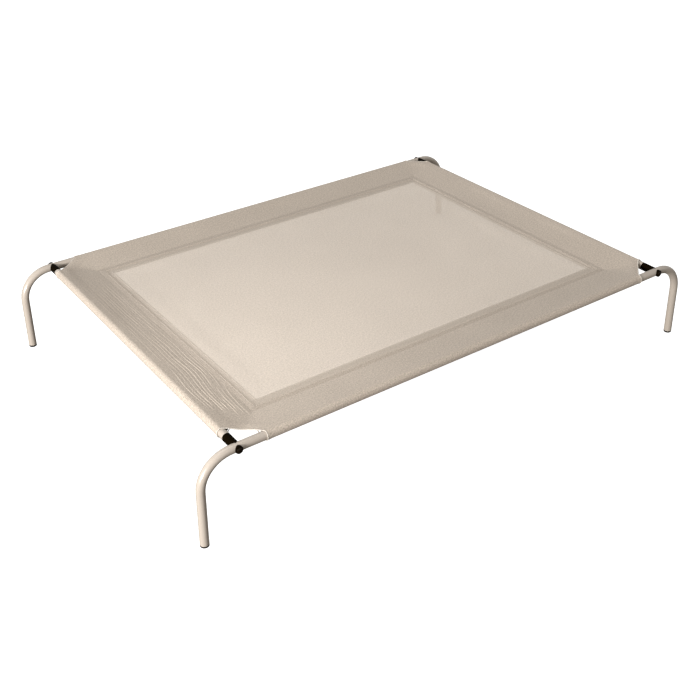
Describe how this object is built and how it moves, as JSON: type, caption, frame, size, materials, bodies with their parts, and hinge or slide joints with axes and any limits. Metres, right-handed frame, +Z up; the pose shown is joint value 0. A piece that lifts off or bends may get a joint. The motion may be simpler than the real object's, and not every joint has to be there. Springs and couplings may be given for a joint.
{
  "type": "raised dog bed",
  "caption": "Raised dog bed: bent steel tube frame with splayed legs, bolted end rails and a sewn knit-mesh cover stretched between the rails.",
  "frame": {"origin": "on the floor, under the middle of the frame", "axes": "+X along the long side rails, +Y along the end rails towards the rear rail, +Z up"},
  "size_m": [1.3544, 0.945, 0.2083],
  "materials": {
    "frame_paint": "glossy beige powder coat",
    "panel_knit": "open warp-knit mesh, single layer, slightly see-through",
    "sleeve_knit": "the same knit in two layers, denser and darker",
    "edge_binding": "narrow overlocked edge",
    "black_plastic": "moulded, fine texture",
    "black_steel": "black oxide",
    "zinc_steel": "zinc plated"
  },
  "bodies": {
    "root": {"side_rail_front": "frame_paint", "side_rail_rear": "frame_paint", "end_rail_left": "frame_paint", "end_rail_right": "frame_paint", "corner_connector_front_left": "black_plastic", "captive_nut_front_left": "zinc_steel", "saddle_washer_front_left": "black_plastic", "frame_bolt_front_left": "black_steel", "foot_glide_front_left": "black_plastic", "corner_connector_front_right": "black_plastic", "captive_nut_front_right": "zinc_steel", "saddle_washer_front_right": "black_plastic", "frame_bolt_front_right": "black_steel", "foot_glide_front_right": "black_plastic", "corner_connector_rear_left": "black_plastic", "captive_nut_rear_left": "zinc_steel", "saddle_washer_rear_left": "black_plastic", "frame_bolt_rear_left": "black_steel", "foot_glide_rear_left": "black_plastic", "corner_connector_rear_right": "black_plastic", "captive_nut_rear_right": "zinc_steel", "saddle_washer_rear_right": "black_plastic", "frame_bolt_rear_right": "black_steel", "foot_glide_rear_right": "black_plastic", "sleeve_front": "sleeve_knit", "sleeve_rear": "sleeve_knit", "sleeve_left": "sleeve_knit", "sleeve_right": "sleeve_knit", "corner_binding_front_left": "edge_binding", "corner_binding_front_right": "edge_binding", "corner_binding_rear_left": "edge_binding", "corner_binding_rear_right": "edge_binding", "mesh_panel": "panel_knit"}
  },
  "joints": []
}
